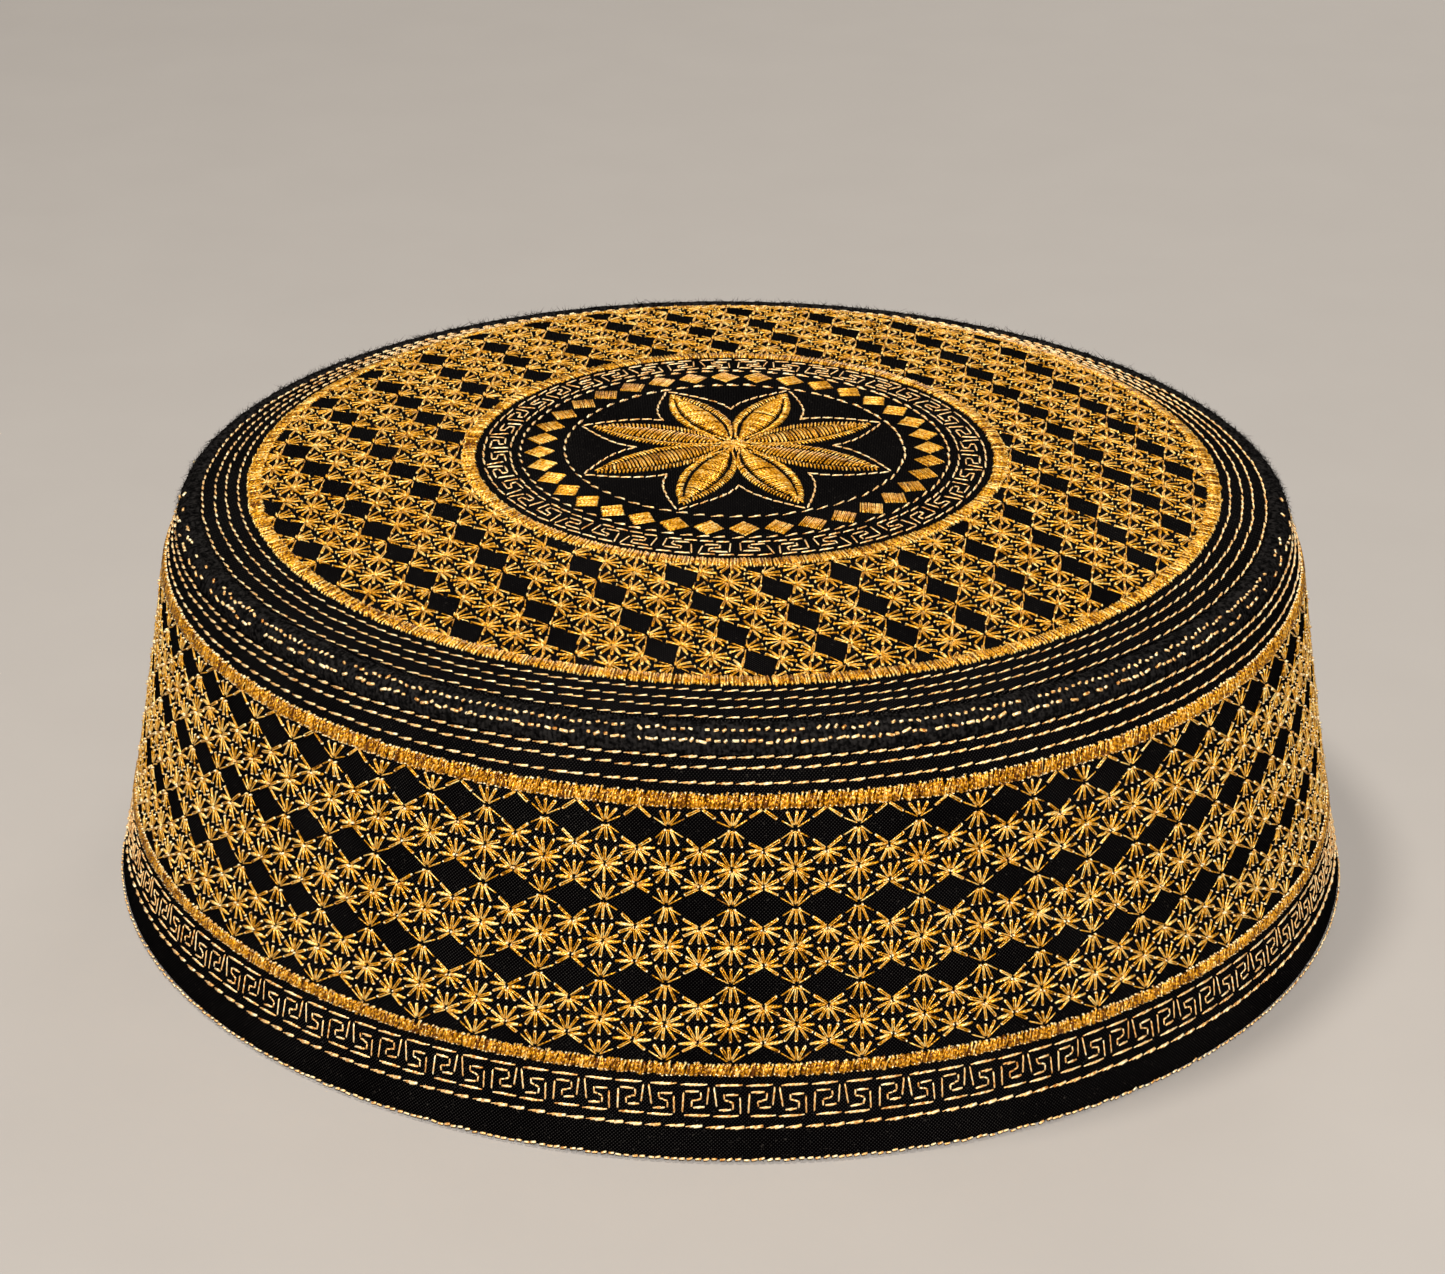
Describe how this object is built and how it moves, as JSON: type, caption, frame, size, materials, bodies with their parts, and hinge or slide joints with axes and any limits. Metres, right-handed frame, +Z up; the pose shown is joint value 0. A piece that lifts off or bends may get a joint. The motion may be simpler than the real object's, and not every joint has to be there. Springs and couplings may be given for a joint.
{
  "type": "round embroidered skullcap",
  "caption": "Stiff round flat-topped cap: leaning side band, slightly domed crown, shoulder seam, raised satin rings and a padded flower, open underneath.",
  "frame": {"origin": "middle of the open rim, on the surface that the cap stands on", "axes": "+Z up along the cap's axis, -Y towards the side that the picture shows in front"},
  "size_m": [0.186, 0.186, 0.0665],
  "materials": {
    "black_twill": "stiff black cotton twill",
    "seam_fuzz": "fuzzy black overlock thread",
    "gold_thread": "glossy gold embroidery thread"
  },
  "bodies": {
    "root": {"side_band": "black_twill", "crown_panel": "black_twill", "shoulder_seam": "seam_fuzz", "crown_ring_outer": "gold_thread", "crown_ring_inner": "gold_thread", "band_border_upper": "gold_thread", "band_border_lower": "gold_thread", "petal_1": "gold_thread", "petal_2": "gold_thread", "petal_3": "gold_thread", "petal_4": "gold_thread", "petal_5": "gold_thread", "petal_6": "gold_thread", "petal_7": "gold_thread", "petal_8": "gold_thread", "flower_knot": "gold_thread"}
  },
  "joints": []
}
